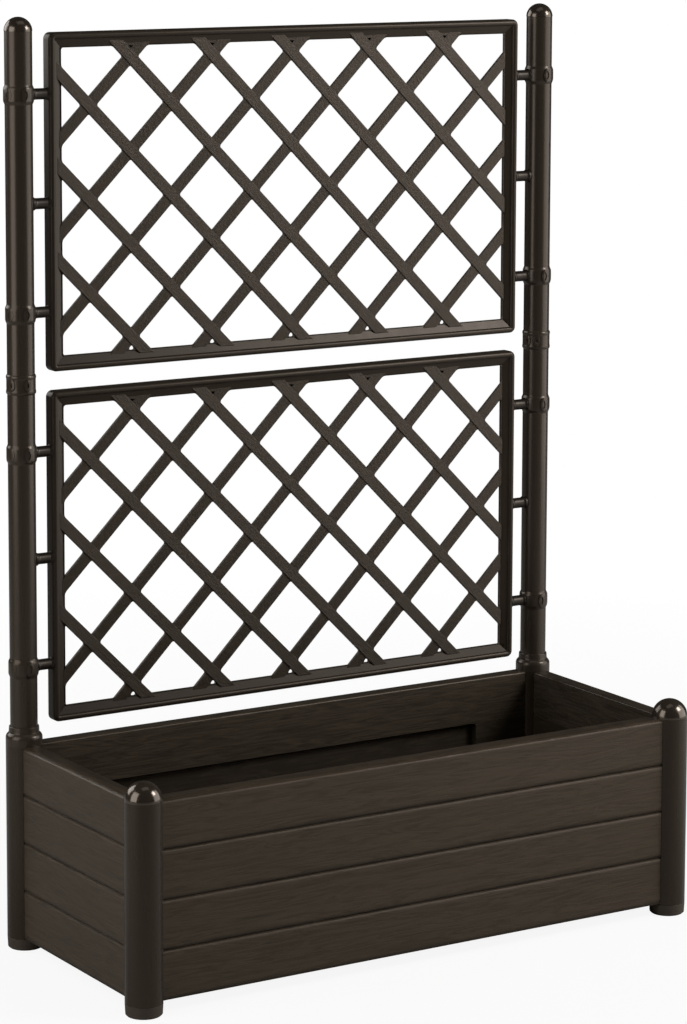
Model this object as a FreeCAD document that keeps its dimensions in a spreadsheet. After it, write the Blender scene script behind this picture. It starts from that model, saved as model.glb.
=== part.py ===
import FreeCAD, Part
import math
import os
import Sketcher

# Resin planter trough with two lattice panels between two tall poles.
# +X is to the right, +Y to the back and +Z up. The origin is the middle of the footprint on the ground.

document = FreeCAD.newDocument("outdoor_planter")
sheet = document.addObject("Spreadsheet::Sheet", "sizes")

SIZES = [
    # Trough
    ("post_pitch_x", 944.0, "left post axis to right post axis"),
    ("post_pitch_y", 374.0, "front post axis to rear post axis"),
    ("post_diameter", 56.0, "outside of a corner post"),
    ("foot_height", 18.0, "ground to the underside of a post"),
    ("foot_taper", 0.8, "radius lost by a foot between its top and the ground"),
    ("foot_bevel", 2.0, "bevelled lower edge of a foot"),
    ("foot_plug", 22.0, "length of the plug that holds a foot in its post"),
    ("rim_height", 318.0, "ground to the top of walls and posts"),
    ("wall_lift", 20.0, "ground to the lower edge of a wall"),
    ("wall_depth", 28.0, "thickness of a wall over its rails"),
    ("wall_seat", 24.0, "post axis to the end of a wall"),
    ("plank_count", 4.0, "planks that a wall imitates"),
    ("plank_groove_width", 4.0, "mouth of the groove between two planks"),
    ("plank_groove_depth", 2.5, "depth of the groove between two planks"),
    ("rim_outer_round", 6.0, "rounded outer edge of the rim"),
    ("rim_inner_round", 3.0, "rounded inner edge of the rim"),
    ("recess_depth", 12.0, "recess in the inner face of a wall"),
    ("recess_end_zone", 98.0, "plain stile between a wall's end and its recess"),
    ("recess_sill", 10.0, "floor's top face to the recess"),
    ("recess_corner", 6.0, "corner radius of the recess"),
    ("tongue_top", 250.0, "ground to the top of a wall's dovetail tongue"),
    ("tongue_neck", 8.0, "width of the tongue where it leaves the wall"),
    ("tongue_head", 13.0, "width of the tongue at its tip"),
    ("tongue_reach", 7.0, "how far the tongue stands out of the wall"),
    ("slide_gap", 0.3, "clearance round a tongue, a floor edge and a post"),
    ("core_width", 20.0, "square hole in the lower part of a post"),
    ("socket_depth", 62.0, "depth of the socket in a post's top"),
    ("fit_gap", 0.2, "radial clearance of a plug, a spigot or a pole"),
    # Floor
    ("floor_height", 42.0, "ground to the underside of the floor plate"),
    ("floor_thickness", 4.0, "floor plate"),
    ("floor_housing", 8.0, "depth of the housing that takes the floor's edge"),
    ("floor_rib_depth", 14.0, "ribs below the floor plate"),
    ("floor_rib_width", 3.0, "thickness of a floor rib"),
    ("floor_rib_pitch", 290.0, "spacing of the cross ribs"),
    ("floor_rib_margin", 8.0, "inner wall face to the end of a rib"),
    ("floor_long_rib", 60.0, "middle of the floor to a lengthwise rib"),
    ("drain_diameter", 9.0, "drain hole"),
    ("drain_row", 112.0, "middle of the floor to an outer row of drain holes"),
    # Caps and collars
    ("edge_break", 0.8, "bevel that shows as a fine seam between two mouldings"),
    ("cap_plug", 24.0, "length of a dome cap's plug"),
    ("collar_height", 28.0, "rear collar above the rim"),
    ("collar_straight", 12.0, "straight part of the collar"),
    ("collar_round", 6.5, "radius of the collar's shoulder"),
    ("collar_shoulder_run", 3.7, "how far the rounded shoulder draws in"),
    ("collar_shoulder_rise", 6.0, "height of the rounded shoulder"),
    ("collar_step", 0.7, "fine step between shoulder and neck"),
    ("collar_lip", 1.2, "thickness of the neck's upper edge"),
    # Poles
    ("pole_diameter", 41.8, "outside of a pole"),
    ("pole_wall", 2.5, "wall of a pole"),
    ("pole_top_margin", 3.5, "upper panel's top edge to the end of the pole"),
    ("pole_cap_lip", 0.4, "pole cap stands proud of the pole"),
    ("pole_cap_band", 1.0, "straight band at the foot of the pole cap"),
    ("pole_cap_rise", 20.0, "height of the pole cap's dome"),
    ("sleeve_edge", 0.4, "thickness of the upper and lower edge of a coupler or clip ring"),
    ("coupler_height", 30.0, "sleeve of the coupler between two poles"),
    ("coupler_thickness", 1.1, "sleeve of the coupler at its middle"),
    ("coupler_lip", 1.6, "sleeve of the coupler at the lips near its ends"),
    ("coupler_shoulder", 3.0, "height of the shoulder between a coupler's end and its lip"),
    ("coupler_hollow", 2.5, "height of the slope between a coupler's lip and its middle"),
    ("coupler_web", 3.0, "web between the ends of the two poles"),
    ("coupler_spigot", 35.0, "spigot that reaches into each pole"),
    ("disc_width", 10.0, "raised oval disc of a coupler"),
    ("disc_height", 18.0, "raised oval disc of a coupler"),
    ("disc_rise", 1.0, "disc above the coupler's lips"),
    ("ring_height", 30.0, "clip ring round a pole"),
    ("ring_thickness", 1.9, "wall of a clip ring"),
    ("ring_shoulder", 3.8, "height of a clip ring's sloping shoulders"),
    ("eye_width", 11.5, "raised oval eye of a clip ring"),
    ("eye_height", 23.0, "raised oval eye of a clip ring"),
    ("eye_rise", 1.3, "eye above the ring"),
    # Lattice panels
    ("panel_side_gap", 47.0, "pole axis to the panel's side"),
    ("panel_height", 510.0, "outside of a panel"),
    ("panel_lift", 27.5, "rim of the trough to the lower panel"),
    ("panel_spacing", 30.0, "gap between the two panels"),
    ("panel_depth", 21.0, "depth of a panel's rim"),
    ("panel_corner", 8.0, "outer corner radius"),
    ("member_width", 22.8, "frame member, seen from the front"),
    ("bead_width", 10.0, "rounded bead along the outer edge"),
    ("bead_height", 4.0, "bead above the flange"),
    ("flange_fall", 5.0, "flange slopes back by this much"),
    ("flange_edge", 4.0, "flange at its inner edge"),
    ("rim_wall", 4.0, "wall of the hollow back of a member"),
    ("opening_corner", 3.0, "corner radius of the panel's opening"),
    ("stud_diameter", 17.0, "stud between a panel and a pole"),
    ("stud_flare", 1.8, "flare where a stud leaves the panel"),
    ("stud_root", 2.0, "stud inside the panel's side wall"),
    ("stud_spacing", 164.0, "middle stud to the studs with rings"),
    ("tenon_width", 8.0, "square tenon at the end of a stud"),
    ("tenon_depth", 5.0, "tenon inside the pole's outer face"),
    ("slat_spacing", 100.6, "square to the slats"),
    ("slat_width", 18.0, "a slat, seen from the front"),
    ("slat_thickness", 5.5, "depth of a slat"),
    ("slat_inset", 5.5, "panel's front to the slats that lie in front"),
    ("slat_step", 1.5, "slats of one direction lie this much further forward"),
    ("slat_rise", 1.9, "crossings lie this much above the middle of the panel"),
    ("slat_hold", 2.0, "a slat's end reaches this far behind the bead"),
]


class Size:
    """A length that is known both as a number and as a formula of the sheet."""

    def __init__(self, number, formula):
        self.number = float(number)
        self.formula = formula

    def __add__(self, other):
        other = as_size(other)
        return Size(self.number + other.number, "(%s + %s)" % (self.formula, other.formula))

    def __sub__(self, other):
        other = as_size(other)
        return Size(self.number - other.number, "(%s - %s)" % (self.formula, other.formula))

    def __mul__(self, other):
        other = as_size(other)
        return Size(self.number * other.number, "(%s * %s)" % (self.formula, other.formula))

    def __truediv__(self, other):
        other = as_size(other)
        return Size(self.number / other.number, "(%s / %s)" % (self.formula, other.formula))

    def __neg__(self):
        return Size(-self.number, "(0 - %s)" % self.formula)


def as_size(value):
    if isinstance(value, Size):
        return value
    return Size(value, "%.9g" % value)


class Sizes:
    """The sheet's cells by their names."""


size = Sizes()
for row, (alias, value, note) in enumerate(SIZES, start=1):
    sheet.set("A%d" % row, alias)
    sheet.set("B%d" % row, "%g" % value)
    sheet.setAlias("B%d" % row, alias)
    sheet.set("C%d" % row, note)
    setattr(size, alias, Size(value, "sizes." + alias))
document.recompute()

# Sizes that follow from the sheet
POST_RADIUS = size.post_diameter / 2
POLE_RADIUS = size.pole_diameter / 2
POLE_BORE = POLE_RADIUS - size.pole_wall
SOCKET_RADIUS = POLE_RADIUS + size.fit_gap
SOCKET_FLOOR = size.rim_height - size.socket_depth
HALF_WALL = size.wall_depth / 2
HALF_X = size.post_pitch_x / 2
HALF_Y = size.post_pitch_y / 2
FLOOR_TOP = size.floor_height + size.floor_thickness
PLANK_HEIGHT = (size.rim_height - size.wall_lift) / size.plank_count
PANEL_WIDTH = size.post_pitch_x - size.panel_side_gap * 2
LOWER_PANEL_MIDDLE = size.rim_height + size.panel_lift + size.panel_height / 2
UPPER_PANEL_MIDDLE = LOWER_PANEL_MIDDLE + size.panel_height + size.panel_spacing
COUPLER_MIDDLE = LOWER_PANEL_MIDDLE + size.panel_height / 2 + size.panel_spacing / 2
POLE_TOP = UPPER_PANEL_MIDDLE + size.panel_height / 2 + size.pole_top_margin
RING_RADIUS = SOCKET_RADIUS + size.ring_thickness
HALF_MORTISE = size.tenon_width / 2 + size.fit_gap

SIDES = (("left", -1), ("right", 1))
EDGE_TOLERANCE = 0.01

node_objects = []


def bind(item, property_name, value):
    item.setExpression(property_name, as_size(value).formula)


def new_body(label, is_node=True):
    body = document.addObject("PartDesign::Body", label)
    body.Label = label
    if is_node:
        node_objects.append(body)
    return body


def place(item, across, back, up, turn=0.0):
    """Sets an object's place, with a turn in degrees about the vertical."""
    item.Placement = FreeCAD.Placement(FreeCAD.Vector(), FreeCAD.Rotation(FreeCAD.Vector(0, 0, 1), turn))
    for axis, value in (("x", across), ("y", back), ("z", up)):
        bind(item, "Placement.Base." + axis, value)


def new_sketch(body, name, role, offset=0):
    """A sketch on one of the body's own origin planes, moved along that plane's normal."""
    sketch = body.newObject("Sketcher::SketchObject", body.Name + "_" + name)
    for plane in body.Origin.OriginFeatures:
        if plane.Role == role:
            sketch.AttachmentSupport = [(plane, "")]
    sketch.MapMode = "FlatFace"
    bind(sketch, "AttachmentOffset.Base.z", offset)
    sketch.Visibility = False
    return sketch


def tie_point(sketch, geometry, position, across, up):
    """Ties one point of a sketch to two lengths of the sheet, or to an axis where a length is 0."""
    for kind, axis, value in (("DistanceX", -2, across), ("DistanceY", -1, up)):
        value = as_size(value)
        if value.formula == "0":
            sketch.addConstraint(Sketcher.Constraint("PointOnObject", geometry, position, axis))
        else:
            index = sketch.addConstraint(
                Sketcher.Constraint(kind, -1, 1, geometry, position, value.number))
            bind(sketch, "Constraints[%d]" % index, value)


def arc_between(start, end, radius):
    """The short arc from start to end, and whether it runs anticlockwise, which a radius over 0 says."""
    chord = end - start
    middle = (start + end) / 2
    rise = math.sqrt(max(radius * radius - chord.Length * chord.Length / 4, 0.0))
    left = FreeCAD.Vector(-chord.y, chord.x, 0).normalize()
    anticlockwise = radius > 0
    centre = middle + left * (rise if anticlockwise else -rise)
    first, last = (start, end) if anticlockwise else (end, start)
    first_angle = math.atan2(first.y - centre.y, first.x - centre.x)
    last_angle = math.atan2(last.y - centre.y, last.x - centre.x)
    if last_angle <= first_angle:
        last_angle += 2 * math.pi
    circle = Part.Circle(centre, FreeCAD.Vector(0, 0, 1), abs(radius))
    return Part.ArcOfCircle(circle, first_angle, last_angle), anticlockwise


def outline(sketch, corners):
    """A closed outline. A corner with a third value starts an arc of that radius to the next corner."""
    corners = [tuple(as_size(value) for value in corner) for corner in corners]
    points = [FreeCAD.Vector(corner[0].number, corner[1].number, 0) for corner in corners]
    first = sketch.GeometryCount
    count = len(corners)
    ends = []
    for index, corner in enumerate(corners):
        start = points[index]
        end = points[(index + 1) % count]
        if len(corner) == 3:
            arc, anticlockwise = arc_between(start, end, corner[2].number)
            sketch.addGeometry(arc, False)
            ends.append((1, 2) if anticlockwise else (2, 1))
        else:
            sketch.addGeometry(Part.LineSegment(start, end), False)
            ends.append((1, 2))
    for index in range(count):
        after = (index + 1) % count
        sketch.addConstraint(Sketcher.Constraint(
            "Coincident", first + index, ends[index][1], first + after, ends[after][0]))
    for index, corner in enumerate(corners):
        tie_point(sketch, first + index, ends[index][0], corner[0], corner[1])
        if len(corner) == 3:
            radius = corner[2] if corner[2].number > 0 else -corner[2]
            constraint = sketch.addConstraint(Sketcher.Constraint("Radius", first + index, radius.number))
            bind(sketch, "Constraints[%d]" % constraint, radius)


def rectangle(sketch, left, bottom, right, top):
    outline(sketch, [(left, bottom), (right, bottom), (right, top), (left, top)])


def rounded_rectangle(sketch, half_width, half_height, radius):
    """A rectangle about the sketch's origin with rounded corners."""
    flat_x = half_width - radius
    flat_y = half_height - radius
    outline(sketch, [
        (-flat_x, -half_height),
        (flat_x, -half_height, radius),
        (half_width, -flat_y),
        (half_width, flat_y, radius),
        (flat_x, half_height),
        (-flat_x, half_height, radius),
        (-half_width, flat_y),
        (-half_width, -flat_y, radius),
    ])


def circle(sketch, across, up, radius):
    middle = FreeCAD.Vector(as_size(across).number, as_size(up).number, 0)
    geometry = sketch.addGeometry(
        Part.Circle(middle, FreeCAD.Vector(0, 0, 1), as_size(radius).number), False)
    tie_point(sketch, geometry, 3, across, up)
    constraint = sketch.addConstraint(Sketcher.Constraint("Radius", geometry, as_size(radius).number))
    bind(sketch, "Constraints[%d]" % constraint, radius)


def pad(body, name, sketch, length, backwards=False):
    feature = body.newObject("PartDesign::Pad", body.Name + "_" + name)
    feature.Profile = sketch
    feature.Reversed = backwards
    bind(feature, "Length", length)
    return feature


def pocket(body, name, sketch, length, backwards=False):
    feature = body.newObject("PartDesign::Pocket", body.Name + "_" + name)
    feature.Profile = sketch
    feature.Reversed = backwards
    bind(feature, "Length", length)
    return feature


def revolve(body, name, sketch, axis="V_Axis"):
    feature = body.newObject("PartDesign::Revolution", body.Name + "_" + name)
    feature.Profile = sketch
    feature.ReferenceAxis = (sketch, [axis])
    return feature


def repeat(body, name, original, sketch, axis, extent, count):
    """Repeats a feature along one axis of its sketch."""
    feature = body.newObject("PartDesign::LinearPattern", body.Name + "_" + name)
    feature.Originals = [original]
    feature.Direction = (sketch, [axis])
    bind(feature, "Length", extent)
    feature.Occurrences = count
    body.Tip = feature
    return feature


def round_edges(body, name, radius, wanted):
    """Rounds the edges of the body whose middle passes the test."""
    document.recompute()
    base = body.Tip
    names = []
    for index, edge in enumerate(base.Shape.Edges, start=1):
        middle = edge.valueAt((edge.FirstParameter + edge.LastParameter) / 2)
        if wanted(edge, middle):
            names.append("Edge%d" % index)
    feature = body.newObject("PartDesign::Fillet", body.Name + "_" + name)
    feature.Base = (base, names)
    bind(feature, "Radius", radius)
    return feature


def oval_boss(body, name, front, width, height, middle, depth):
    """An upright oval that stands on the front of a round piece and reaches this deep into it."""
    sketch = new_sketch(body, name, "XZ_Plane", front)
    radius = width / 2
    flank = (height - width) / 2
    outline(sketch, [
        (radius, middle - flank),
        (radius, middle + flank, radius),
        (0, middle + height / 2, radius),
        (-radius, middle + flank),
        (-radius, middle - flank, radius),
        (0, middle - height / 2, radius),
    ])
    pad(body, name + "_pad", sketch, depth, True)


def sphere_radius(base_radius, rise):
    """Radius of the sphere whose cap has this base and rise."""
    return (base_radius * base_radius + rise * rise) / (rise * 2)


# Walls. Each is one moulding that imitates planks. Dovetail tongues at its ends slide into the posts, and a
# housing near its lower edge takes the floor. Its inner face is recessed between plain end stiles.
def make_wall(label, post_pitch, across, back, turn):
    body = new_body(label)
    half_length = post_pitch / 2 - size.wall_seat
    section = new_sketch(body, "section", "YZ_Plane", -half_length)
    corners = [(-HALF_WALL, size.wall_lift), (HALF_WALL, size.wall_lift)]
    corners += [
        (HALF_WALL, size.rim_height - size.rim_inner_round, size.rim_inner_round),
        (HALF_WALL - size.rim_inner_round, size.rim_height),
        (-HALF_WALL + size.rim_outer_round, size.rim_height, size.rim_outer_round),
        (-HALF_WALL, size.rim_height - size.rim_outer_round),
    ]
    for seam in range(1, round(size.plank_count.number)):
        seam_height = size.rim_height - PLANK_HEIGHT * seam
        corners += [
            (-HALF_WALL, seam_height + size.plank_groove_width / 2),
            (-HALF_WALL + size.plank_groove_depth, seam_height),
            (-HALF_WALL, seam_height - size.plank_groove_width / 2),
        ]
    outline(section, corners)
    pad(body, "planks", section, half_length * 2)

    recess_bottom = FLOOR_TOP + size.recess_sill
    recess_top = size.rim_height - PLANK_HEIGHT
    recess_half = half_length - size.recess_end_zone
    recess = new_sketch(body, "recess", "XZ_Plane", -HALF_WALL)
    corner = size.recess_corner
    outline(recess, [
        (-recess_half + corner, recess_bottom),
        (recess_half - corner, recess_bottom, corner),
        (recess_half, recess_bottom + corner),
        (recess_half, recess_top - corner, corner),
        (recess_half - corner, recess_top),
        (-recess_half + corner, recess_top, corner),
        (-recess_half, recess_top - corner),
        (-recess_half, recess_bottom + corner, corner),
    ])
    pocket(body, "inner_recess", recess, size.recess_depth, True)

    housing = new_sketch(body, "housing", "YZ_Plane", -half_length)
    rectangle(housing, HALF_WALL - size.floor_housing, size.floor_height,
              HALF_WALL, FLOOR_TOP + size.slide_gap)
    pocket(body, "floor_housing_cut", housing, half_length * 2, True)

    tongues = new_sketch(body, "tongues", "XY_Plane", size.foot_height)
    root = half_length - size.tongue_reach / 2
    tip = half_length + size.tongue_reach
    for side in (-1, 1):
        outline(tongues, [
            (root * side, size.tongue_neck / -2),
            (half_length * side, size.tongue_neck / -2),
            (tip * side, size.tongue_head / -2),
            (tip * side, size.tongue_head / 2),
            (half_length * side, size.tongue_neck / 2),
            (root * side, size.tongue_neck / 2),
        ])
    pad(body, "end_tongues", tongues, size.tongue_top - size.foot_height)
    place(body, across, back, 0, turn)


make_wall("front_wall", size.post_pitch_x, 0, -HALF_Y, 0.0)
make_wall("back_wall", size.post_pitch_x, 0, HALF_Y, 180.0)
make_wall("left_wall", size.post_pitch_y, -HALF_X, 0, -90.0)
make_wall("right_wall", size.post_pitch_y, HALF_X, 0, 90.0)


# Corner posts. The four are one moulding, turned: two flats and two dovetail slots take the walls' ends,
# a square core takes the foot, and the socket in the top takes a pole or the plug of a dome cap.
def make_post(label, across, back, turn):
    body = new_body(label)
    shaft = new_sketch(body, "shaft", "XY_Plane", size.foot_height)
    circle(shaft, 0, 0, POST_RADIUS)
    pad(body, "shaft_pad", shaft, size.rim_height - size.foot_height)

    flats = new_sketch(body, "flats", "XY_Plane", size.rim_height)
    rectangle(flats, size.wall_seat, -POST_RADIUS, POST_RADIUS, POST_RADIUS)
    rectangle(flats, -POST_RADIUS, size.wall_seat, size.wall_seat, POST_RADIUS)
    pocket(body, "wall_flats", flats, size.rim_height - size.foot_height)

    slots = new_sketch(body, "slots", "XY_Plane", size.foot_height)
    near = size.tongue_neck / 2 + size.slide_gap
    far = size.tongue_head / 2 + size.slide_gap
    tip = size.wall_seat - size.tongue_reach - size.slide_gap
    outline(slots, [
        (size.wall_seat, -near), (size.wall_seat, near), (tip, far), (tip, -far),
    ])
    outline(slots, [
        (near, size.wall_seat), (-near, size.wall_seat), (-far, tip), (far, tip),
    ])
    pocket(body, "tongue_slots", slots, size.tongue_top + size.slide_gap - size.foot_height, True)

    core = new_sketch(body, "core", "XY_Plane", size.foot_height)
    half_core = size.core_width / 2
    rectangle(core, -half_core, -half_core, half_core, half_core)
    pocket(body, "core_cut", core, size.tongue_top - size.foot_height, True)

    socket = new_sketch(body, "socket", "XY_Plane", size.rim_height)
    circle(socket, 0, 0, SOCKET_RADIUS)
    pocket(body, "pole_socket", socket, size.socket_depth)
    place(body, across, back, 0, turn)


# Feet. A short drum closes the post and carries the tongues of the walls. A square plug holds it.
def make_foot(label, across, back):
    body = new_body(label)
    profile = new_sketch(body, "profile", "XZ_Plane")
    ground_radius = POST_RADIUS - size.foot_taper
    outline(profile, [
        (0, 0),
        (ground_radius - size.foot_bevel, 0),
        (ground_radius, size.foot_bevel),
        (POST_RADIUS, size.foot_height - size.edge_break),
        (POST_RADIUS - size.edge_break, size.foot_height),
        (0, size.foot_height),
    ])
    revolve(body, "drum", profile)
    plug = new_sketch(body, "plug", "XY_Plane", size.foot_height)
    half_plug = size.core_width / 2 - size.fit_gap
    rectangle(plug, -half_plug, -half_plug, half_plug, half_plug)
    pad(body, "plug_pad", plug, size.foot_plug)
    place(body, across, back, 0)


# Dome caps of the front posts, with a plug in the post's socket.
def make_dome_cap(label, across, back):
    body = new_body(label)
    profile = new_sketch(body, "profile", "XZ_Plane")
    rim = size.rim_height
    rise = POST_RADIUS - size.edge_break
    outline(profile, [
        (0, rim - size.cap_plug),
        (POLE_RADIUS, rim - size.cap_plug),
        (POLE_RADIUS, rim),
        (POST_RADIUS - size.edge_break, rim),
        (POST_RADIUS, rim + size.edge_break, sphere_radius(POST_RADIUS, rise)),
        (0, rim + size.edge_break + rise),
    ])
    revolve(body, "dome", profile)
    place(body, across, back, 0)


# Collars of the rear posts. Each slides over its pole and covers the rim of the socket.
def make_collar(label, across, back):
    body = new_body(label)
    profile = new_sketch(body, "profile", "XZ_Plane")
    rim = size.rim_height
    shoulder = rim + size.collar_straight
    shoulder_top = shoulder + size.collar_shoulder_rise
    shoulder_radius = POST_RADIUS - size.collar_shoulder_run
    outline(profile, [
        (SOCKET_RADIUS, rim),
        (POST_RADIUS - size.edge_break, rim),
        (POST_RADIUS, rim + size.edge_break),
        (POST_RADIUS, shoulder, size.collar_round),
        (shoulder_radius, shoulder_top),
        (shoulder_radius - size.collar_step, shoulder_top),
        (SOCKET_RADIUS + size.collar_lip, rim + size.collar_height),
        (SOCKET_RADIUS, rim + size.collar_height),
    ])
    revolve(body, "collar", profile)
    place(body, across, back, 0)


for side_name, side in SIDES:
    for row_name, row in (("front", -1), ("rear", 1)):
        corner_name = row_name + "_" + side_name
        corner_turn = {(-1, -1): 0.0, (1, -1): 90.0, (1, 1): 180.0, (-1, 1): -90.0}[(side, row)]
        make_post(corner_name + "_post", HALF_X * side, HALF_Y * row, corner_turn)
        make_foot(corner_name + "_foot", HALF_X * side, HALF_Y * row)
    make_dome_cap("front_%s_dome_cap" % side_name, HALF_X * side, -HALF_Y)
    make_collar("rear_%s_collar" % side_name, HALF_X * side, HALF_Y)


# Floor. A ribbed plate with drain holes. Its edges lie in the housings of the four walls, and its corners are
# cut round the posts.
def make_floor():
    body = new_body("base_floor")
    edge_inset = HALF_WALL - size.floor_housing + size.slide_gap
    half_x = HALF_X - edge_inset
    half_y = HALF_Y - edge_inset
    plate = new_sketch(body, "plate", "XY_Plane", size.floor_height)
    rectangle(plate, -half_x, -half_y, half_x, half_y)
    pad(body, "plate_pad", plate, size.floor_thickness)

    notches = new_sketch(body, "notches", "XY_Plane", size.floor_height)
    for across in (-HALF_X, HALF_X):
        for back in (-HALF_Y, HALF_Y):
            circle(notches, across, back, POST_RADIUS + size.slide_gap)
    pocket(body, "corner_notches", notches, size.floor_thickness, True)

    rib_half_x = HALF_X - HALF_WALL - size.floor_rib_margin
    rib_half_y = HALF_Y - HALF_WALL - size.floor_rib_margin
    long_ribs = new_sketch(body, "long_ribs", "XY_Plane", size.floor_height)
    for middle in (-size.floor_long_rib, size.floor_long_rib):
        rectangle(long_ribs, -rib_half_x, middle - size.floor_rib_width / 2,
                  rib_half_x, middle + size.floor_rib_width / 2)
    pad(body, "long_rib_pad", long_ribs, size.floor_rib_depth, True)

    side_count = math.floor((rib_half_x.number - size.floor_rib_width.number) / size.floor_rib_pitch.number)
    first_rib = -size.floor_rib_pitch * side_count
    cross_rib = new_sketch(body, "cross_rib", "XY_Plane", size.floor_height)
    rectangle(cross_rib, first_rib - size.floor_rib_width / 2, -rib_half_y,
              first_rib + size.floor_rib_width / 2, rib_half_y)
    cross_pad = pad(body, "cross_rib_pad", cross_rib, size.floor_rib_depth, True)
    repeat(body, "cross_ribs", cross_pad, cross_rib, "H_Axis",
           size.floor_rib_pitch * side_count * 2, side_count * 2 + 1)

    drains = new_sketch(body, "drains", "XY_Plane", FLOOR_TOP)
    first_drain = first_rib + size.floor_rib_pitch / 2
    for back in (-size.drain_row, as_size(0), size.drain_row):
        circle(drains, first_drain, back, size.drain_diameter / 2)
    drain_cut = pocket(body, "drain_cut", drains, size.floor_thickness)
    repeat(body, "drain_holes", drain_cut, drains, "H_Axis",
           size.floor_rib_pitch * (side_count * 2 - 1), side_count * 2)


make_floor()


# Poles. Each is a lower and an upper tube, joined by a coupler and closed by a domed cap. Square mortises
# on the side of the panels take the tenons of the panels' studs.
def cut_mortises(body, side, heights):
    mortises = new_sketch(body, "mortises", "YZ_Plane")
    for height in heights:
        rectangle(mortises, -HALF_MORTISE, height - HALF_MORTISE, HALF_MORTISE, height + HALF_MORTISE)
    pocket(body, "mortise_cut", mortises, size.pole_diameter, side < 0)


def make_pole(label, side, foot, top, stud_heights):
    body = new_body(label)
    tube = new_sketch(body, "tube", "XY_Plane", foot)
    circle(tube, 0, 0, POLE_RADIUS)
    circle(tube, 0, 0, POLE_BORE)
    pad(body, "tube_pad", tube, top - foot)
    cut_mortises(body, side, stud_heights)
    place(body, HALF_X * side, HALF_Y, 0)


# The coupler's sleeve has a lip near each end, a raised oval disc in front, and spigots on a web inside.
def make_coupler(label, side):
    body = new_body(label)
    profile = new_sketch(body, "profile", "XZ_Plane")
    middle = COUPLER_MIDDLE
    half_web = size.coupler_web / 2
    half_sleeve = size.coupler_height / 2
    lip_up = half_sleeve - size.coupler_shoulder
    spigot_radius = POLE_BORE - size.fit_gap
    edge_radius = SOCKET_RADIUS + size.sleeve_edge
    lip_radius = SOCKET_RADIUS + size.coupler_lip
    middle_radius = SOCKET_RADIUS + size.coupler_thickness
    upper = [
        (0, size.coupler_spigot),
        (spigot_radius, size.coupler_spigot),
        (spigot_radius, half_web),
        (SOCKET_RADIUS, half_web),
        (SOCKET_RADIUS, half_sleeve),
        (edge_radius, half_sleeve),
        (lip_radius, lip_up),
        (middle_radius, lip_up - size.coupler_hollow),
    ]
    corners = [(across, middle + up) for across, up in upper]
    corners += [(across, middle - up) for across, up in reversed(upper)]
    outline(profile, corners)
    revolve(body, "coupler", profile)
    oval_boss(body, "disc", lip_radius + size.disc_rise, size.disc_width, size.disc_height, middle,
              size.disc_rise + size.coupler_lip - size.sleeve_edge)
    place(body, HALF_X * side, HALF_Y, 0)


def make_pole_cap(label, side):
    body = new_body(label)
    profile = new_sketch(body, "profile", "XZ_Plane")
    plug_radius = POLE_BORE - size.fit_gap
    lip_radius = POLE_RADIUS + size.pole_cap_lip
    band_top = POLE_TOP + size.pole_cap_band
    outline(profile, [
        (0, POLE_TOP - size.cap_plug),
        (plug_radius, POLE_TOP - size.cap_plug),
        (plug_radius, POLE_TOP),
        (lip_radius, POLE_TOP),
        (lip_radius, band_top, sphere_radius(lip_radius, size.pole_cap_rise)),
        (0, band_top + size.pole_cap_rise),
    ])
    revolve(body, "cap", profile)
    place(body, HALF_X * side, HALF_Y, 0)


# Clip rings lie round the poles at the upper and lower studs of each panel. Their sloping shoulders end in
# thin edges, and a raised oval eye faces the front.
def make_ring(label, side, height):
    body = new_body(label)
    profile = new_sketch(body, "profile", "XZ_Plane")
    half = size.ring_height / 2
    flat = half - size.ring_shoulder
    edge_radius = SOCKET_RADIUS + size.sleeve_edge
    outline(profile, [
        (SOCKET_RADIUS, -half),
        (edge_radius, -half),
        (RING_RADIUS, -flat),
        (RING_RADIUS, flat),
        (edge_radius, half),
        (SOCKET_RADIUS, half),
    ])
    revolve(body, "band", profile)
    oval_boss(body, "eye", RING_RADIUS + size.eye_rise, size.eye_width, size.eye_height, as_size(0),
              size.eye_rise + size.ring_thickness / 2)
    cut_mortises(body, side, [as_size(0)])
    place(body, HALF_X * side, HALF_Y, height)


PANEL_MIDDLES = (("lower", LOWER_PANEL_MIDDLE), ("upper", UPPER_PANEL_MIDDLE))
for side_name, side in SIDES:
    for level_name, level in PANEL_MIDDLES:
        heights = [level - size.stud_spacing, level, level + size.stud_spacing]
        if level_name == "lower":
            foot, top = SOCKET_FLOOR, COUPLER_MIDDLE - size.coupler_web / 2
        else:
            foot, top = COUPLER_MIDDLE + size.coupler_web / 2, POLE_TOP
        make_pole("%s_%s_pole" % (level_name, side_name), side, foot, top, heights)
        make_ring("%s_%s_bottom_ring" % (level_name, side_name), side, heights[0])
        make_ring("%s_%s_top_ring" % (level_name, side_name), side, heights[2])
    make_coupler("%s_pole_coupler" % side_name, side)
    make_pole_cap("%s_pole_cap" % side_name, side)


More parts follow.
